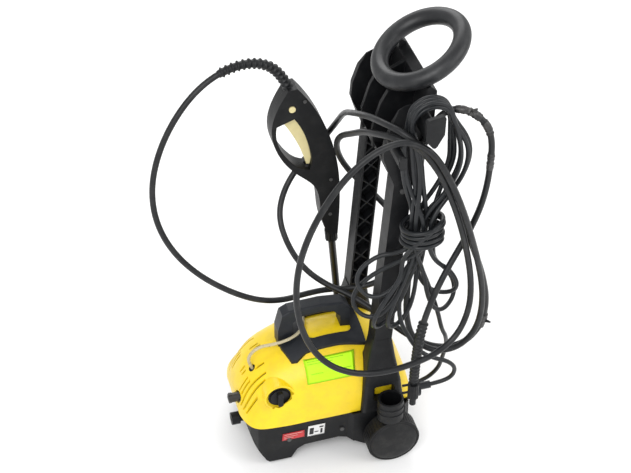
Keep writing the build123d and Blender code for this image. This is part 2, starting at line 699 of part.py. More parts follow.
# ---------------------------------------------------------------- hose, cord and tube
# routes chosen by hand, X measured from the axle
HOSE_ROUTE = [
    # out of the gun handle, the big arc in front, down to the hood
    (-117, 143, 670), (-133, 143, 712), (-178, 141, 738), (-235, 137, 731), (-286, 130, 701),
    (-331, 118, 651), (-363, 104, 593), (-378, 92, 532), (-374, 80, 470), (-350, 68, 410),
    (-308, 57, 356), (-254, 48, 312), (-204, 43, 284), (-158, 44, 273), (-112, 54, 270),
    # between the posts, up behind the far one, across the front of the mast
    (-66, 58, 267), (-22, 48, 266), (22, 36, 280), (56, 34, 316), (70, 48, 364), (58, 72, 410),
    (28, 100, 442), (-6, 117, 478), (-32, 118, 522), (-44, 100, 570), (-46, 64, 612), (-42, 16, 648),
    (-38, -36, 688), (-33, -80, 714), (-16, -118, 730), (18, -142, 724),
    # outer strand down behind, under, over the hood and up beside the gun
    (52, -148, 676), (80, -150, 614), (106, -148, 548), (131, -145, 480), (154, -140, 412),
    (168, -134, 344), (164, -127, 280), (134, -118, 234), (86, -100, 222), (40, -68, 240),
    (0, -28, 268), (-38, 12, 284), (-78, 40, 296), (-114, 62, 324), (-138, 88, 366),
    (-146, 122, 410), (-124, 156, 446), (-86, 174, 484), (-44, 173, 530),
    (-26, 150, 580), (-28, 104, 630), (-31, 50, 666), (-33, -4, 700), (-33, -52, 728), (-24, -96, 744),
    (-2, -130, 744), (28, -150, 720),
    # inner strand down behind, then the front loop past the nose
    (54, -160, 672), (77, -163, 614), (97, -161, 552), (113, -158, 488), (124, -158, 426),
    (123, -164, 366), (98, -178, 320), (54, -191, 299), (4, -199, 293), (-48, -204, 293),
    (-99, -203, 304), (-143, -198, 332), (-173, -190, 376), (-189, -181, 430), (-192, -173, 490),
    (-182, -166, 550), (-160, -161, 608), (-128, -157, 662), (-88, -153, 708), (-42, -151, 738),
    (2, -153, 744),
    # down once more, up behind the hank, over the hook and down to the coupling
    (40, -160, 718), (68, -167, 664), (92, -170, 602), (113, -167, 536), (132, -162, 470),
    (147, -156, 404), (152, -151, 340), (142, -148, 288), (112, -142, 252), (72, -126, 242),
    (41, -107, 264), (29, -101, 318), (29, -102, 382), (32, -101, 446), (35, -102, 510), (38, -103.2, 574),
    (39, -103.4, 636), (43, -103.2, 692), (58, -103.4, 736), (86, -103.6, 757), (116, -117, 755),
    (141, -127, 732), (152, -129, 697), (152, -130, 655), (150, -130, 612), (143, -130, 568), (128, -131, 524),
    (107, -136, 486), (83, -146, 452), (61, -157, 417), (43, -166, 378), (32, -170, 336),
    (28, -170, 292), (25, -171, 249), (25, -170, 208)]
CORD_ROUTE = [(57, -45, 78), (90, -45, 81), (117, -52, 112), (120, -65, 158), (119, -81, 204),
              (109, -99, 246), (94, -113, 280), (78, -120, 318)]
TAIL_ROUTE = [(30, -124, 299), (33, -132, 276), (46, -141, 256), (70, -149, 241), (95, -149, 226),
              (110, -146, 204), (104, -142, 180), (84, -140, 172), (62, -140, 172)]
TUBE_ROUTE = [(-231.7, -21, 171.45), (-239.5, -21, 189), (-243, -20, 207), (-232, -18, 221), (-216, -17, 227),
              (-198, -19, 228), (-178, -22, 233), (-159, -22, 239), (-142, -14, 243), (-131, 4, 246),
              (-127, 28, 246), (-122, 52, 239), (-113, 76, 224), (-103, 98, 202), (-94, 118, 172),
              (-89, 132, 148), (-88, 140, 123)]


def cord_tube(name, route, diameter):
    """A round cord along straight runs joined by tangent arcs, each as large as its runs allow."""
    points = [Vector(AX + x, y, z) for x, y, z in route]
    tightest, length = 1e9, 0.0
    with BuildPart() as tube:
        with BuildLine() as path:
            last = points[0]
            for before, corner, after in zip(points, points[1:], points[2:]):
                u, v = (corner - before).normalized(), (after - corner).normalized()
                half_turn = u.get_angle(v) * math.pi / 360
                reach = 0.45 * min((corner - before).length, (after - corner).length)
                radius = reach / math.tan(half_turn)
                start, end = corner - u * reach, corner + v * reach
                inward = (v - u).normalized()
                middle = corner + inward * (radius / math.cos(half_turn) - radius)
                Line(last, start)
                ThreePointArc(start, middle, end)
                last, tightest = end, min(tightest, radius)
            Line(last, points[-1])
        length = sum(edge.length for edge in path.edges())
        with BuildSketch(Plane(origin=points[0], z_dir=points[1] - points[0])):
            Circle(diameter / 2)
        sweep()
    section = math.pi * diameter ** 2 / 4
    print(name, "length", round(length), "tightest bend", round(tightest, 1),
          "volume ratio", round(tube.part.volume / (section * length), 4))
    return tube.part


pressure_hose = cord_tube("pressure_hose", HOSE_ROUTE, HOSE_D)
pressure_hose.label = "pressure_hose"
export_step(pressure_hose, "parts/pressure_hose.step")

power_cord = cord_tube("power_cord", CORD_ROUTE, CORD_D)
power_cord.label = "power_cord"
export_step(power_cord, "parts/power_cord.step")

cord_tail = cord_tube("cord_tail", TAIL_ROUTE, CORD_D)
cord_tail.label = "cord_tail"
export_step(cord_tail, "parts/cord_tail.step")

detergent_tube = cord_tube("detergent_tube", TUBE_ROUTE, TUBE_D)
detergent_tube.label = "detergent_tube"
export_step(detergent_tube, "parts/detergent_tube.step")

with BuildPart() as cord_hank:                                    # outer shape of the hanked loops
    with BuildSketch(Plane.XZ.offset(109.5)):
        with BuildLine():
            Polyline((AX + 22, 796), (AX + 62, 800), (AX + 72, 770), (AX + 86, 700), (AX + 72, 620),
                     (AX + 72, 560), (AX + 110, 440), (AX + 116, 360), (AX + 96, 326), (AX + 10, 300),
                     (AX - 44, 310), (AX - 74, 360), (AX - 74, 410), (AX - 46, 480), (AX + 4, 560),
                     (AX - 2, 620), (AX - 2, 690), (AX + 4, 706), (AX + 15, 716),
                     (AX + 15, 745), close=True)
        make_face()
    extrude(amount=21.5)
    with Locations((HOOK[0] - 4, -125, HOOK[1] - 4)):
        Box(19, 60, 35, mode=Mode.SUBTRACT)
cord_hank.part.label = "cord_hank"
export_step(cord_hank.part, "parts/cord_hank.step")

with BuildPart() as mains_plug:
    with Locations(Location((AX + 57, -140, 172), (0, 90, 0))):
        Cylinder(7, 22)
        Cylinder(4, 22, mode=Mode.SUBTRACT)
    with Locations(Location((AX + 40, -140, 172), (0, 90, 0))):
        Cylinder(17, 12)
    for z in (-9.5, 9.5):
        with Locations(Location((AX + 25, -140, 172 + z), (0, 90, 0))):
            Cylinder(2.4, 20)
mains_plug.part.label = "mains_plug"
export_step(mains_plug.part, "parts/mains_plug.step")

with BuildPart() as hose_coupling:
    with Locations((AX + 25, -170, 198)):
        Cylinder(10, 34)
        with PolarLocations(10.4, 12):
            Cylinder(1.3, 40, mode=Mode.SUBTRACT)
    with Locations((AX + 25, -170, 209)):
        Cylinder(5.6, 14, mode=Mode.SUBTRACT)
    with Locations((AX + 25, -170, 173)):
        Cylinder(6, 18)
    with Locations((AX + 25, -170, 180)):
        Cylinder(2.5, 60, mode=Mode.SUBTRACT)
hose_coupling.part.label = "hose_coupling"
export_step(hose_coupling.part, "parts/hose_coupling.step")

with BuildPart() as suction_strainer:
    with Locations((AX - 88, 140, 106)):
        Cylinder(7, 36)
        Cylinder(3.1, 40, mode=Mode.SUBTRACT)
        with PolarLocations(7, 8):
            Box(4, 2, 18, mode=Mode.SUBTRACT)
suction_strainer.part.label = "suction_strainer"
export_step(suction_strainer.part, "parts/suction_strainer.step")
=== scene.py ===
import json
import math
import random

import bmesh
import bpy
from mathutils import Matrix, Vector
from mathutils.bvhtree import BVHTree


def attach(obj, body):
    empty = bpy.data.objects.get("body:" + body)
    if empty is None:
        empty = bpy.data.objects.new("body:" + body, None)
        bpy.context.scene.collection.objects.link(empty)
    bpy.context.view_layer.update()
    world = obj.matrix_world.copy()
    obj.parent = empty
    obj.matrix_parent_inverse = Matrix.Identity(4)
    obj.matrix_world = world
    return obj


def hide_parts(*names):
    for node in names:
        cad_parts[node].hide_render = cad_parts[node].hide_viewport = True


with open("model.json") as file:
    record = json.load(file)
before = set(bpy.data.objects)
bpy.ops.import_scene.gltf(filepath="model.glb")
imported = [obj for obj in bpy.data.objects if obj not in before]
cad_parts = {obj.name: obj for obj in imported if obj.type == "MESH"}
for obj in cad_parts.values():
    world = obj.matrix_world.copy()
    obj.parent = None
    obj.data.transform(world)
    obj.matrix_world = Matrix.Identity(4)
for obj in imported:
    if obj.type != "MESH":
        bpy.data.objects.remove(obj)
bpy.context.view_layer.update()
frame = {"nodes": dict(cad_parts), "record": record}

NODES = frame["nodes"]
AX = 0.071                      # rear axle
WHEEL_R, WHEEL_FACE_Y = 0.050, 0.150
HOSE_D, CORD_D, TUBE_D = 0.011, 0.008, 0.006


# ---------------------------------------------------------------- camera
def add_camera():
    data = bpy.data.cameras.new("camera")
    data.sensor_fit = "HORIZONTAL"
    data.sensor_width = 36.0
    data.lens = 86.0
    cam = bpy.data.objects.new("camera", data)
    cam.location = (AX - 0.657, -1.949, 2.143)
    cam.rotation_euler = (math.radians(90 - 39.9), 0, math.radians(-15.7))
    bpy.context.scene.collection.objects.link(cam)
    bpy.context.scene.camera = cam


add_camera()


# ---------------------------------------------------------------- helpers
def link(obj, body="machine"):
    bpy.context.scene.collection.objects.link(obj)
    if body:
        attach(obj, body)
    return obj


def from_bmesh(name, bm, mat, body="machine", smooth=True):
    mesh = bpy.data.meshes.new(name)
    bm.normal_update()
    bm.to_mesh(mesh)
    bm.free()
    if smooth:
        mesh.shade_smooth()
    obj = bpy.data.objects.new(name, mesh)
    mesh.materials.append(mat)
    return link(obj, body)


def curve_points(curve):
    """Points along a cord's own spline, read from the curve without its bevel."""
    depth, curve.data.bevel_depth = curve.data.bevel_depth, 0.0
    bpy.context.view_layer.update()
    deps = bpy.context.evaluated_depsgraph_get()
    mesh = bpy.data.meshes.new_from_object(curve.evaluated_get(deps))
    points = [v.co.copy() for v in mesh.vertices]
    bpy.data.meshes.remove(mesh)
    curve.data.bevel_depth = depth
    return points


def path_length(points):
    return sum((b - a).length for a, b in zip(points, points[1:]))


def resample(points, step):
    """The same line with points a fixed step apart."""
    out, carry = [points[0].copy()], 0.0
    for a, b in zip(points, points[1:]):
        run = (b - a).length
        pos = step - carry
        while pos <= run:
            out.append(a.lerp(b, pos / run))
            pos += step
        carry = run - (pos - step)
    return out


def sleeve(name, points, radius, mat, body="machine", sides=24):
    """A closed tube along points whose radius is radius(distance, total)."""
    total = path_length(points)
    bm = bmesh.new()
    rings, run = [], 0.0
    tangent = (points[1] - points[0]).normalized()
    side = tangent.orthogonal().normalized()
    for i, p in enumerate(points):
        if i:
            run += (p - points[i - 1]).length
        new = (points[min(i + 1, len(points) - 1)] - points[max(i - 1, 0)]).normalized()
        side = (tangent.rotation_difference(new) @ side).normalized()
        tangent = new
        up = tangent.cross(side)
        r = radius(run, total)
        ring = []
        for k in range(sides):
            a = 2 * math.pi * k / sides
            ring.append(bm.verts.new(p + side * (r * math.cos(a)) + up * (r * math.sin(a))))
        rings.append(ring)
    for lo, hi in zip(rings, rings[1:]):
        for k in range(sides):
            n = (k + 1) % sides
            bm.faces.new((lo[k], lo[n], hi[n], hi[k]))
    bm.faces.new(list(reversed(rings[0])))
    bm.faces.new(rings[-1])
    return from_bmesh(name, bm, mat, body)


# ---------------------------------------------------------------- materials
def material(name, color, rough=0.5, dust=None, dust_amount=0.0, grain=900.0, bump=0.05, coat=0.0,
             vary=0.06, rough_vary=0.12, spec=0.5, scratch=0.0, transmission=0.0, soft=0.0012):
    """Moulded or rubber surface: colour drift, dust, roughness drift, fine grain and soft scratches."""
    mat = bpy.data.materials.new(name)
    mat.use_nodes = True
    nt = mat.node_tree
    bsdf = nt.nodes["Principled BSDF"]
    bsdf.inputs["Specular IOR Level"].default_value = spec
    bsdf.inputs["Coat Weight"].default_value = coat
    bsdf.inputs["Coat Roughness"].default_value = 0.25
    bsdf.inputs["Transmission Weight"].default_value = transmission
    coord = nt.nodes.new("ShaderNodeTexCoord")

    def noise(scale, detail=4.0, rough_=0.6, stretch=None):
        src = coord.outputs["Object"]
        if stretch:
            mapping = nt.nodes.new("ShaderNodeMapping")
            mapping.inputs["Scale"].default_value = stretch
            nt.links.new(src, mapping.inputs["Vector"])
            src = mapping.outputs["Vector"]
        node = nt.nodes.new("ShaderNodeTexNoise")
        node.inputs["Scale"].default_value = scale
        node.inputs["Detail"].default_value = detail
        node.inputs["Roughness"].default_value = rough_
        nt.links.new(src, node.inputs["Vector"])
        return node.outputs["Fac"]

    def ramp(src, low, high, a=(0, 0, 0, 1), b=(1, 1, 1, 1)):
        node = nt.nodes.new("ShaderNodeValToRGB")
        node.color_ramp.elements[0].position = low
        node.color_ramp.elements[1].position = high
        node.color_ramp.elements[0].color = a
        node.color_ramp.elements[1].color = b
        nt.links.new(src, node.inputs["Fac"])
        return node.outputs["Color"]

    dark = tuple(c * (1 - vary * 2) for c in color) + (1,)
    light = tuple(min(1, c * (1 + vary)) for c in color) + (1,)
    base = ramp(noise(14, 5), 0.3, 0.7, dark, light)
    if dust:
        mask = ramp(noise(32, 8, 0.68), 0.46, 0.78)
        scale = nt.nodes.new("ShaderNodeMath")
        scale.operation = "MULTIPLY"
        scale.inputs[1].default_value = dust_amount
        nt.links.new(mask, scale.inputs[0])
        mix = nt.nodes.new("ShaderNodeMix")
        mix.data_type = "RGBA"
        mix.inputs["B"].default_value = tuple(dust) + (1,)
        nt.links.new(scale.outputs[0], mix.inputs["Factor"])
        nt.links.new(base, mix.inputs["A"])
        base = mix.outputs["Result"]
    nt.links.new(base, bsdf.inputs["Base Color"])
    r = nt.nodes.new("ShaderNodeMapRange")
    r.inputs["To Min"].default_value = max(0.02, rough - rough_vary)
    r.inputs["To Max"].default_value = min(1.0, rough + rough_vary)
    nt.links.new(noise(26, 6), r.inputs["Value"])
    nt.links.new(r.outputs["Result"], bsdf.inputs["Roughness"])
    height = noise(grain, 2)
    if scratch:
        lines = ramp(noise(55, 3, 0.8, (1.0, 9.0, 14.0)), 0.62, 0.68)
        add = nt.nodes.new("ShaderNodeMath")
        add.operation = "MULTIPLY_ADD"
        add.inputs[1].default_value = scratch
        nt.links.new(lines, add.inputs[0])
        nt.links.new(height, add.inputs[2])
        height = add.outputs[0]
    edge = nt.nodes.new("ShaderNodeBevel")                  # rounds the look of moulded edges
    edge.samples = 4
    edge.inputs["Radius"].default_value = soft
    b = nt.nodes.new("ShaderNodeBump")
    nt.links.new(edge.outputs["Normal"], b.inputs["Normal"])
    b.inputs["Strength"].default_value = bump
    b.inputs["Distance"].default_value = 0.001
    nt.links.new(height, b.inputs["Height"])
    nt.links.new(b.outputs["Normal"], bsdf.inputs["Normal"])
    return mat


GREY_DUST = (0.30, 0.29, 0.27)
M = {
    "yellow_plastic": material("yellow_plastic", (0.87, 0.62, 0.004), 0.42, (0.42, 0.30, 0.05), 0.35,
                               bump=0.06, coat=0.15, vary=0.04, scratch=0.25),
    "black_plastic": material("black_plastic", (0.0052, 0.0056, 0.0066), 0.47, (0.034, 0.034, 0.034), 0.35,
                              bump=0.12, scratch=0.2, spec=0.25),
    "slate_plastic": material("slate_plastic", (0.0085, 0.0105, 0.0145), 0.46, (0.045, 0.048, 0.052), 0.3,
                              bump=0.10, spec=0.35),
    "satin_plastic": material("satin_plastic", (0.012, 0.0128, 0.0145), 0.40, (0.06, 0.062, 0.064), 0.4,
                              bump=0.08, scratch=0.4, spec=0.4),
    "wheel_plastic": material("wheel_plastic", (0.0075, 0.0078, 0.0085), 0.5, (0.06, 0.058, 0.055), 0.4,
                              bump=0.2, scratch=0.3, spec=0.25),
    "lance_plastic": material("lance_plastic", (0.006, 0.006, 0.0068), 0.4, bump=0.05),
    "cream_plastic": material("cream_plastic", (0.80, 0.70, 0.36), 0.35, (0.35, 0.28, 0.14), 0.3,
                              bump=0.03, coat=0.2, vary=0.03),
    "pale_plastic": material("pale_plastic", (0.55, 0.55, 0.52), 0.5, bump=0.05),
    "rubber": material("rubber", (0.015, 0.015, 0.015), 0.75, GREY_DUST, 0.2, bump=0.3),
    "hose_rubber": material("hose_rubber", (0.0115, 0.0122, 0.0135), 0.36, (0.07, 0.07, 0.068), 0.35,
                            bump=0.08, grain=500.0, scratch=0.25, spec=0.3),
    "cord_rubber": material("cord_rubber", (0.0095, 0.011, 0.013), 0.38, (0.06, 0.063, 0.066), 0.25,
                            bump=0.06, spec=0.35),
    "clear_tube": material("clear_tube", (0.62, 0.55, 0.36), 0.28, bump=0.02, transmission=0.35),
    "steel": material("steel", (0.5, 0.5, 0.5), 0.35, bump=0.05),
    "boot_rubber": material("boot_rubber", (0.0085, 0.0092, 0.0105), 0.42, (0.07, 0.07, 0.068), 0.3,
                            bump=0.06, spec=0.3),
    "tape": material("tape", (0.014, 0.014, 0.015), 0.35, GREY_DUST, 0.3, bump=0.15, scratch=0.5),
    "cast_metal": material("cast_metal", (0.42, 0.43, 0.44), 0.55, bump=0.3),
    "brass": material("brass", (0.55, 0.40, 0.16), 0.35, bump=0.05),
}
for metal in ("steel", "cast_metal", "brass"):
    M[metal].node_tree.nodes["Principled BSDF"].inputs["Metallic"].default_value = 1.0

for part in frame["record"]["subparts"]:
    node = NODES[part["node"]]
    for mat_slot in node.material_slots:
        mat_slot.link = "OBJECT"
        mat_slot.material = M[part["material_slot"]]


# ---------------------------------------------------------------- hose, cord and tube
# the routes of the CAD part, X measured from the axle, in metres
HOSE_ROUTE = [
    # out of the gun handle, the big arc in front, down to the hood
    (-0.117, 0.143, 0.670), (-0.133, 0.143, 0.712), (-0.178, 0.141, 0.738),
    (-0.235, 0.137, 0.731), (-0.286, 0.130, 0.701), (-0.331, 0.118, 0.651),
    (-0.363, 0.104, 0.593), (-0.378, 0.092, 0.532), (-0.374, 0.080, 0.470),
    (-0.350, 0.068, 0.410), (-0.308, 0.057, 0.356), (-0.254, 0.048, 0.312),
    (-0.204, 0.043, 0.284), (-0.158, 0.044, 0.273), (-0.112, 0.054, 0.270),
    # between the posts, up behind the far one, across the front of the mast
    (-0.066, 0.058, 0.267), (-0.022, 0.048, 0.266), (0.022, 0.036, 0.280),
    (0.056, 0.034, 0.316), (0.070, 0.048, 0.364), (0.058, 0.072, 0.410),
    (0.028, 0.100, 0.442), (-0.006, 0.117, 0.478), (-0.032, 0.118, 0.522),
    (-0.044, 0.100, 0.570), (-0.046, 0.064, 0.612), (-0.042, 0.016, 0.648),
    (-0.038, -0.036, 0.688), (-0.033, -0.080, 0.714), (-0.016, -0.118, 0.730),
    (0.018, -0.142, 0.724),
    # outer strand down behind, under, over the hood and up beside the gun
    (0.052, -0.148, 0.676), (0.080, -0.150, 0.614), (0.106, -0.148, 0.548),
    (0.131, -0.145, 0.480), (0.154, -0.140, 0.412), (0.168, -0.134, 0.344),
    (0.164, -0.127, 0.280), (0.134, -0.118, 0.234), (0.086, -0.100, 0.222),
    (0.040, -0.068, 0.240), (0.000, -0.028, 0.268), (-0.038, 0.012, 0.284),
    (-0.078, 0.040, 0.296), (-0.114, 0.062, 0.324), (-0.138, 0.088, 0.366),
    (-0.146, 0.122, 0.410), (-0.124, 0.156, 0.446), (-0.086, 0.174, 0.484),
    (-0.044, 0.173, 0.530), (-0.026, 0.150, 0.580), (-0.028, 0.104, 0.630),
    (-0.031, 0.050, 0.666), (-0.033, -0.004, 0.700), (-0.033, -0.052, 0.728),
    (-0.024, -0.096, 0.744), (-0.002, -0.130, 0.744), (0.028, -0.150, 0.720),
    # inner strand down behind, then the front loop past the nose
    (0.054, -0.160, 0.672), (0.077, -0.163, 0.614), (0.097, -0.161, 0.552),
    (0.113, -0.158, 0.488), (0.124, -0.158, 0.426), (0.123, -0.164, 0.366),
    (0.098, -0.178, 0.320), (0.054, -0.191, 0.299), (0.004, -0.199, 0.293),
    (-0.048, -0.204, 0.293), (-0.099, -0.203, 0.304), (-0.143, -0.198, 0.332),
    (-0.173, -0.190, 0.376), (-0.189, -0.181, 0.430), (-0.192, -0.173, 0.490),
    (-0.182, -0.166, 0.550), (-0.160, -0.161, 0.608), (-0.128, -0.157, 0.662),
    (-0.088, -0.153, 0.708), (-0.042, -0.151, 0.738), (0.002, -0.153, 0.744),
    # down once more, up behind the hank, over the hook and down to the coupling
    (0.040, -0.160, 0.718), (0.068, -0.167, 0.664), (0.092, -0.170, 0.602),
    (0.113, -0.167, 0.536), (0.132, -0.162, 0.470), (0.147, -0.156, 0.404),
    (0.152, -0.151, 0.340), (0.142, -0.148, 0.288), (0.112, -0.142, 0.252),
    (0.072, -0.126, 0.242), (0.041, -0.107, 0.264), (0.029, -0.101, 0.318),
    (0.029, -0.102, 0.382), (0.032, -0.101, 0.446), (0.035, -0.102, 0.510),
    (0.038, -0.1032, 0.574), (0.039, -0.1034, 0.636), (0.043, -0.1032, 0.692),
    (0.058, -0.1034, 0.736), (0.086, -0.1036, 0.757), (0.116, -0.117, 0.755),
    (0.141, -0.127, 0.732), (0.152, -0.129, 0.697), (0.152, -0.130, 0.655),
    (0.150, -0.130, 0.612), (0.143, -0.130, 0.568), (0.128, -0.131, 0.524),
    (0.107, -0.136, 0.486), (0.083, -0.146, 0.452), (0.061, -0.157, 0.417),
    (0.043, -0.166, 0.378), (0.032, -0.170, 0.336), (0.028, -0.170, 0.292),
    (0.025, -0.171, 0.249), (0.025, -0.170, 0.208),
]
HOSE_ROUTE = [(AX + x, y, z) for x, y, z in HOSE_ROUTE]
TUBE_ROUTE = [
    (-0.2317, -0.021, 0.1714), (-0.2395, -0.021, 0.189), (-0.243, -0.020, 0.207),
    (-0.232, -0.018, 0.221), (-0.216, -0.017, 0.227), (-0.198, -0.019, 0.228),
    (-0.178, -0.022, 0.233), (-0.159, -0.022, 0.239), (-0.142, -0.014, 0.243),
    (-0.131, 0.004, 0.246), (-0.127, 0.028, 0.246), (-0.122, 0.052, 0.239),
    (-0.113, 0.076, 0.224), (-0.103, 0.098, 0.202), (-0.094, 0.118, 0.172),
    (-0.089, 0.132, 0.148), (-0.088, 0.140, 0.123),
]
TUBE_ROUTE = [(AX + x, y, z) for x, y, z in TUBE_ROUTE]


def cord_curve(name, route, diameter, mat):
    data = bpy.data.curves.new(name, "CURVE")
    data.dimensions = "3D"
    data.bevel_depth = diameter / 2
    data.bevel_resolution = 5
    data.resolution_u = 8
    data.use_fill_caps = True
    spline = data.splines.new("NURBS")
    spline.points.add(len(route) - 1)
    for point, p in zip(spline.points, route):
        point.co = (*p, 1.0)
    spline.order_u = 3
    spline.use_endpoint_u = True
    data.materials.append(mat)
    return link(bpy.data.objects.new(name, data))


hose = cord_curve("hose", HOSE_ROUTE, HOSE_D, M["hose_rubber"])
hose_line = curve_points(hose)
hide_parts("pressure_hose")


def ridged(base, ridge, pitch, taper=0.0):
    """Radius of a corrugated sleeve."""
    def radius(run, total):
        wave = max(0.0, math.sin(2 * math.pi * run / pitch)) ** 0.6
        end = min(1.0, run / 0.004 + 0.75, (total - run) / 0.004 + 0.75)
        return (base * (1 - taper * run / total) + ridge * wave) * end
    return radius


def stretch_of(line, start, stop, step):
    """The part of a line between two distances from its start."""
    fine = resample(line, step)
    return fine[int(start / step):int(stop / step) + 1]


gun_boot = sleeve("gun_boot", stretch_of(hose_line, 0.002, 0.158, 0.0009),
                  ridged(0.0076, 0.0027, 0.0097, 0.10), M["boot_rubber"])
total_hose = path_length(hose_line)
end_boot = sleeve("end_boot", stretch_of(hose_line, total_hose - 0.150, total_hose - 0.012, 0.0012),
                  ridged(0.0074, 0.0019, 0.0082), M["boot_rubber"])
tube = cord_curve("suction_tube", TUBE_ROUTE, TUBE_D, M["clear_tube"])
tube_line = curve_points(tube)
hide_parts("detergent_tube")

# mains cord: up from the gland, six loops over the hook, four wraps round the waist, the plug
CORD_UP = [(0.057, -0.045, 0.078), (0.090, -0.045, 0.081), (0.117, -0.052, 0.112),
           (0.120, -0.065, 0.158), (0.119, -0.081, 0.204), (0.109, -0.099, 0.246),
           (0.094, -0.113, 0.280), (0.082, -0.120, 0.330), (0.064, -0.122, 0.390)]
CORD_DOWN = [(0.009, -0.118, 0.352), (0.013, -0.122, 0.322), (0.024, -0.127, 0.296),
             (0.035, -0.134, 0.274), (0.050, -0.142, 0.256), (0.072, -0.148, 0.244),
             (0.096, -0.149, 0.232), (0.113, -0.147, 0.210), (0.110, -0.143, 0.184),
             (0.088, -0.140, 0.172), (0.062, -0.140, 0.172)]
WAIST = (0.040, -0.130)
HOOK_ARC = [(-1, 0), (-0.78, 0.78), (0, 1.12), (0.78, 0.78), (1, 0)]      # over the hook, times its radius
# each loop: where it hangs to, how far its right side bulges, how far its left side does
LOOPS = [(-0.050, 0.420, 0.094, 0.002), (0.096, 0.356, 0.102, 0.022), (-0.056, 0.376, 0.112, 0.026),
         (0.004, 0.334, 0.086, 0.007), (0.086, 0.392, 0.118, 0.018), (-0.026, 0.344, 0.100, 0.030)]


def cord_route():
    route = list(CORD_UP)
    slots = [(0.0195 * math.cos(a), 0.0155 * math.sin(a)) for a in
             (2 * math.pi * k / 9 + 0.3 for k in range(9))]
    slots += [(0.006, 0.002), (-0.006, 0.003), (0.0, -0.005)]
    order = (3, 0, 4, 8, 5, 1, 6, 2, 10, 7, 9, 11)
    for k, (tip_x, tip_z, bulge, left) in enumerate(LOOPS):
        ax, ay = slots[order[2 * k]]
        bx, by = slots[order[2 * k + 1]]
        y = -0.1145 - 0.0082 * (k % 3)
        top = 0.781 + 0.008 * (k // 3)
        for z in (0.500, 0.535, 0.570):
            route.append((WAIST[0] + ax, WAIST[1] + ay, z))
        route += [(left + 0.006, y, 0.632), (left, y, 0.692)]
        route += [(0.046 + 0.036 * u, y, top - 0.034 + 0.036 * v) for u, v in HOOK_ARC]
        route += [(bulge - 0.002, y, 0.702), (bulge, y, 0.658), (bulge - 0.020, y, 0.612)]
        for z in (0.570, 0.535, 0.500):
            route.append((WAIST[0] + bx, WAIST[1] + by, z))
        way = Vector((tip_x - WAIST[0], 0, tip_z - 0.490)).normalized()
        y = -0.1165 - 0.0024 * k
        flat = Vector((-way.z, 0, way.x))
        across = flat * 0.0255 + Vector((0, 0.016, 0)) * (1 if k % 2 else -1)
        tip = Vector((tip_x, y, tip_z))
        start = Vector((WAIST[0], y, 0.490))
        run = tip - start
        route += [tuple(start + run * 0.36 + across * 0.5), tuple(tip - way * 0.050 + across),
                  tuple(tip - way * 0.010 + across * 1.06), tuple(tip + way * 0.013 + across * 0.5),
                  tuple(tip + way * 0.013 - across * 0.5), tuple(tip - way * 0.010 - across * 1.06),
                  tuple(tip - way * 0.050 - across), tuple(start + run * 0.36 - across * 0.5)]
    for k in range(-5, 55):                     # four turns, led in from below and out downwards
        a = 2 * math.pi * k / 12 - 0.6
        loose = 1 + 0.05 * math.sin(a * 0.37)
        drop = 0.0035 * (min(k, 0) ** 2 + max(k - 48, 0) ** 2)
        tilt = (0.006 + 0.002 * math.sin(a * 0.21)) * math.cos(a + 0.8)
        route.append((WAIST[0] + 0.0350 * loose * math.cos(a), WAIST[1] + 0.0305 * math.sin(a),
                      0.556 - 0.0098 * k / 12 + tilt - drop))
    route += CORD_DOWN
    return [(AX + x, y, z) for x, y, z in route]


CORD_ROUTE = cord_route()
cord = cord_curve("mains_cord", CORD_ROUTE, CORD_D, M["cord_rubber"])
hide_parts("power_cord", "cord_hank", "cord_tail")
round(path_length(curve_points(cord)), 2)


# ---------------------------------------------------------------- body details
def tree_of(*nodes):
    """A search tree over CAD nodes, in row coordinates."""
    bm = bmesh.new()
    for name in nodes:
        bm.from_mesh(NODES[name].data)
    tree = BVHTree.FromBMesh(bm)
    bm.free()
    return tree


def patch(name, tree, corners, mat, outward, lift=0.0006, across=20, down=12, curl=0.0):
    """A thin label laid over a surface from outside, between four corners given from the axle."""
    a, b, c, d = (Vector((AX + x, y, z)) for x, y, z in corners)
    outward = Vector(outward).normalized()
    bm = bmesh.new()
    rows = []
    for j in range(down + 1):
        row = []
        for i in range(across + 1):
            u, v = i / across, j / down
            p = a.lerp(b, u).lerp(d.lerp(c, u), v)
            near, normal, _, _ = tree.ray_cast(p + outward * 0.04, -outward)
            if near is None:
                near, normal, _, _ = tree.find_nearest(p)
            normal = normal if normal.dot(outward) > 0 else -normal
            edge = curl * max(0.0, abs(u - 0.5) * 2 - 0.9) * max(0.0, 0.5 - v) * 20
            row.append(bm.verts.new(near + normal * (lift + edge)))
        rows.append(row)
    for lo, hi in zip(rows, rows[1:]):
        for i in range(across):
            bm.faces.new((lo[i], lo[i + 1], hi[i + 1], hi[i]))
    obj = from_bmesh(name, bm, mat)
    solid = obj.modifiers.new("thickness", "SOLIDIFY")
    solid.thickness = 0.0003
    return obj


def lathe(name, profile, centre, side, mat, body="machine", segments=64):
    """A turned piece on an axis along Y; profile holds (radius, height towards side)."""
    bm = bmesh.new()
    rings = []
    for r, h in profile:
        if r == 0:
            rings.append([bm.verts.new((centre[0], centre[1] + side * h, centre[2]))])
            continue
        rings.append([bm.verts.new((centre[0] + r * math.cos(2 * math.pi * k / segments),
                                    centre[1] + side * h,
                                    centre[2] + r * math.sin(2 * math.pi * k / segments)))
                      for k in range(segments)])
    for lo, hi in zip(rings, rings[1:]):
        for k in range(segments):
            n = (k + 1) % segments
            if len(lo) == 1:
                bm.faces.new((lo[0], hi[k], hi[n]))
            elif len(hi) == 1:
                bm.faces.new((lo[k], lo[n], hi[0]))
            else:
                bm.faces.new((lo[k], lo[n], hi[n], hi[k]))
    bmesh.ops.recalc_face_normals(bm, faces=bm.faces)
    return from_bmesh(name, bm, mat, body)


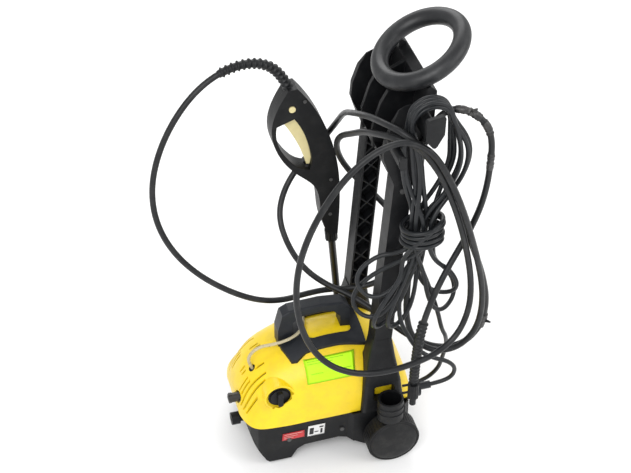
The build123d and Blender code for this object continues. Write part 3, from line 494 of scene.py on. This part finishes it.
WHEEL_FACE = [(0.0, 0.0078), (0.012, 0.0077), (0.024, 0.0071), (0.034, 0.0058), (0.040, 0.0042),
              (0.0432, 0.0028), (0.0446, 0.0016), (0.0452, 0.0004), (0.0460, 0.0004), (0.0466, 0.0014),
              (0.0480, 0.0016), (0.0490, 0.0008), (0.0494, -0.001)]
for side, name in ((-1, "near"), (1, "far")):
    lathe("wheel_face_" + name, WHEEL_FACE, (AX, side * WHEEL_FACE_Y, WHEEL_R), side, M["wheel_plastic"],
          "wheel_" + name)


M["dark_fitting"] = material("dark_fitting", (0.018, 0.017, 0.015), 0.38, (0.10, 0.09, 0.07), 0.3,
                             bump=0.05)
M["dark_screw"] = material("dark_screw", (0.06, 0.06, 0.06), 0.45, bump=0.05)
for node_name, look in (("outlet_connector", "dark_fitting"), ("side_screws", "dark_screw"),
                        ("mast_bolts", "dark_screw"), ("gun_screws", "dark_screw")):
    for mat_slot in NODES[node_name].material_slots:
        mat_slot.material = M[look]


def plain(name, color, rough, **more):
    return material(name, color, rough, vary=0.02, **more)


LIME = plain("lime_sticker", (0.52, 1.0, 0.0), 0.55, bump=0.03)
RED = plain("red_label", (0.50, 0.02, 0.025), 0.35, bump=0.02, coat=0.3)
WHITE = plain("white_label", (0.72, 0.72, 0.72), 0.35, bump=0.02, coat=0.3)
INK = plain("ink", (0.02, 0.02, 0.022), 0.5, bump=0.02)
PALE_INK = plain("pale_ink", (0.78, 0.45, 0.42), 0.5, bump=0.02)
DIM_INK = plain("dim_ink", (0.30, 0.62, 0.0), 0.6, bump=0.02)
hood_tree = tree_of("hood")
tub_tree = tree_of("base_tub")
UP_NEAR, NEAR = (0, -0.75, 0.66), (0, -1, 0)
STICKER = [Vector(c) for c in ((-0.149, -0.059, 0.214), (-0.055, -0.060, 0.217),
                               (-0.059, -0.092, 0.183), (-0.149, -0.090, 0.180))]


def part_of(quad, u0, v0, u1, v1):
    """Corners of a smaller rectangle inside a label's four corners."""
    a, b, c, d = quad
    return [tuple(a.lerp(b, u).lerp(d.lerp(c, u), v)) for u, v in ((u0, v0), (u1, v0), (u1, v1), (u0, v1))]


patch("lime_sticker", hood_tree, STICKER, LIME, UP_NEAR, lift=0.0007, curl=0.004)
STICKER_LINES = [(0.06, 0.78, 0.12), (0.06, 0.56, 0.22), (0.10, 0.34, 0.62), (0.62, 0.92, 0.60)]
for k, (u0, u1, v) in enumerate(STICKER_LINES):
    patch("sticker_line_%d" % k, hood_tree, part_of(STICKER, u0, v, u1, v + 0.018), DIM_INK, UP_NEAR,
          lift=0.0012, down=1)
RED_AT = [Vector(c) for c in ((-0.200, -0.099, 0.074), (-0.158, -0.099, 0.074),
                              (-0.158, -0.099, 0.056), (-0.202, -0.099, 0.056))]
WHITE_AT = [Vector(c) for c in ((-0.151, -0.099, 0.081), (-0.118, -0.099, 0.081),
                                (-0.120, -0.099, 0.054), (-0.153, -0.099, 0.054))]
patch("red_label", tub_tree, RED_AT, RED, NEAR)
for k, v in enumerate((0.16, 0.44, 0.66)):
    patch("red_line_%d" % k, tub_tree, part_of(RED_AT, 0.08, v, 0.9 - 0.2 * k, v + 0.07), PALE_INK, NEAR,
          lift=0.0011, down=1)
patch("white_label", tub_tree, WHITE_AT, WHITE, NEAR)
for k, box in enumerate(((0.10, 0.22, 0.34, 0.82), (0.40, 0.60, 0.62, 0.68), (0.66, 0.18, 0.90, 0.30),
                         (0.74, 0.42, 0.86, 0.84))):
    patch("white_mark_%d" % k, tub_tree, part_of(WHITE_AT, *box), INK, NEAR, lift=0.0011, down=2)


def soft_plate(name, centre, size, mat, body="machine", bevel=0.002, crown=0.0):
    """A small moulded plate with rounded edges and a slightly crowned face."""
    bm = bmesh.new()
    bmesh.ops.create_cube(bm, size=1.0)
    bmesh.ops.scale(bm, vec=size, verts=bm.verts)
    bmesh.ops.bevel(bm, geom=bm.edges[:], offset=bevel, segments=3, affect="EDGES", profile=0.5)
    for v in bm.verts:
        v.co.y *= 1 + crown * (1 - (2 * v.co.x / size[0]) ** 2)
        v.co += Vector(centre)
    return from_bmesh(name, bm, mat, body)


for side, name in ((-1, "near"), (1, "far")):                    # hood shows through the foot window
    soft_plate("foot_window_" + name, (AX - 0.006, side * 0.0945, 0.142), (0.033, 0.003, 0.032),
               M["yellow_plastic"], bevel=0.0012, crown=0.5)


EAR_FACES = ((0, 1, 2, 3), (7, 6, 5, 4), (0, 4, 5, 1), (1, 5, 6, 2), (2, 6, 7, 3), (3, 7, 4, 0))


def tape(name, at, reach, base, seed, ears=0):
    """Insulating tape wound round the hose, with torn ends standing off."""
    rnd = random.Random(seed)
    centre = Vector((AX + at[0], at[1], at[2]))
    k = min(range(len(hose_line)), key=lambda i: (hose_line[i] - centre).length)
    lo = hi = k
    while lo > 0 and (hose_line[lo] - hose_line[k]).length < reach:
        lo -= 1
    while hi < len(hose_line) - 1 and (hose_line[hi] - hose_line[k]).length < reach:
        hi += 1
    line = resample(hose_line[lo:hi + 1], 0.0015)
    steps = [rnd.uniform(-0.0006, 0.0007) for _ in range(60)]
    obj = sleeve(name, line, lambda run, total: base + steps[int(run / 0.003) % 60], M["tape"],
                 sides=18)
    if ears:
        bm = bmesh.new()
        bm.from_mesh(obj.data)
        for _ in range(ears):
            way = Vector((rnd.uniform(-1, 1), rnd.uniform(-0.8, -0.1), rnd.uniform(-1, 1))).normalized()
            side = way.orthogonal().normalized() * 0.0035
            root = hose_line[k] + way * base * 0.6
            tip = root + way * rnd.uniform(0.009, 0.016)
            lift = way.cross(side).normalized() * 0.0012
            outline = (root - side, root + side, tip + side * 0.5, tip - side * 0.3)
            quads = [bm.verts.new(v + lift) for v in outline] + [bm.verts.new(v - lift) for v in outline]
            for f in EAR_FACES:
                bm.faces.new([quads[i] for i in f])
        bm.to_mesh(obj.data)
        bm.free()
    return obj


TAPES = [tape("tape_top", (0.116, -0.118, 0.755), 0.020, 0.0068, 3, ears=2),
         tape("tape_upper", (0.143, -0.127, 0.722), 0.012, 0.0064, 5, ears=1),
         tape("tape_mid", (0.152, -0.130, 0.655), 0.014, 0.0062, 8),
         tape("tape_knot", (0.165, -0.130, 0.300), 0.011, 0.0074, 11, ears=5)]


# ---------------------------------------------------------------- small mouldings
def ring_band(name, centre, r, half, tube, mat, arc=(0.0, 2 * math.pi), body="machine",
              sides=14, steps=72):
    """A rounded band round a cup, standing on its outer wall."""
    bm = bmesh.new()
    rings = []
    for k in range(steps + 1):
        a = arc[0] + (arc[1] - arc[0]) * k / steps
        shift = half if math.cos(a) > 0 else -half
        out = Vector((math.cos(a), math.sin(a), 0))
        mid = Vector(centre) + Vector((shift, 0, 0)) + out * r
        turns = [2 * math.pi * i / sides for i in range(sides)]
        rings.append([bm.verts.new(mid + out * (tube * math.cos(t))
                                   + Vector((0, 0, tube * 1.2 * math.sin(t)))) for t in turns])
    for lo, hi in zip(rings, rings[1:]):
        for i in range(sides):
            n = (i + 1) % sides
            bm.faces.new((lo[i], lo[n], hi[n], hi[i]))
    bm.faces.new(rings[0])
    bm.faces.new(list(reversed(rings[-1])))
    bmesh.ops.recalc_face_normals(bm, faces=bm.faces)
    return from_bmesh(name, bm, mat, body)


for k, z in enumerate((0.122, 0.136)):
    ring_band("cup_band_%d" % k, (AX - 0.004, -0.1348, z), 0.0222, 0.002, 0.0012, M["black_plastic"],
              (math.radians(165), math.radians(375)))


# ---------------------------------------------------------------- stage and light
def add_stage():
    bm = bmesh.new()
    bmesh.ops.create_grid(bm, x_segments=1, y_segments=1, size=6)
    floor = bpy.data.materials.new("floor")
    floor.use_nodes = True
    floor.node_tree.nodes["Principled BSDF"].inputs["Base Color"].default_value = (0.9, 0.9, 0.9, 1)
    floor.node_tree.nodes["Principled BSDF"].inputs["Roughness"].default_value = 0.9
    obj = from_bmesh("floor", bm, floor, body=None, smooth=False)
    for name, place, size, power in (("key", (-1.6, -2.6, 3.0), 2.6, 90),
                                     ("fill", (2.6, -1.6, 2.2), 2.2, 42),
                                     ("back", (0.6, 2.8, 2.8), 2.6, 60)):
        data = bpy.data.lights.new(name, "AREA")
        data.size = size
        data.energy = power
        lamp = bpy.data.objects.new(name, data)
        lamp.location = place
        lamp.rotation_euler = (Vector((0, 0, 0.4)) - Vector(place)).to_track_quat("-Z", "Y").to_euler()
        bpy.context.scene.collection.objects.link(lamp)
    world = bpy.data.worlds.new("world")
    world.use_nodes = True
    world.node_tree.nodes["Background"].inputs["Color"].default_value = (1, 1, 1, 1)
    world.node_tree.nodes["Background"].inputs["Strength"].default_value = 0.8
    bpy.context.scene.world = world
    bpy.context.scene.view_settings.view_transform = "Standard"


add_stage()
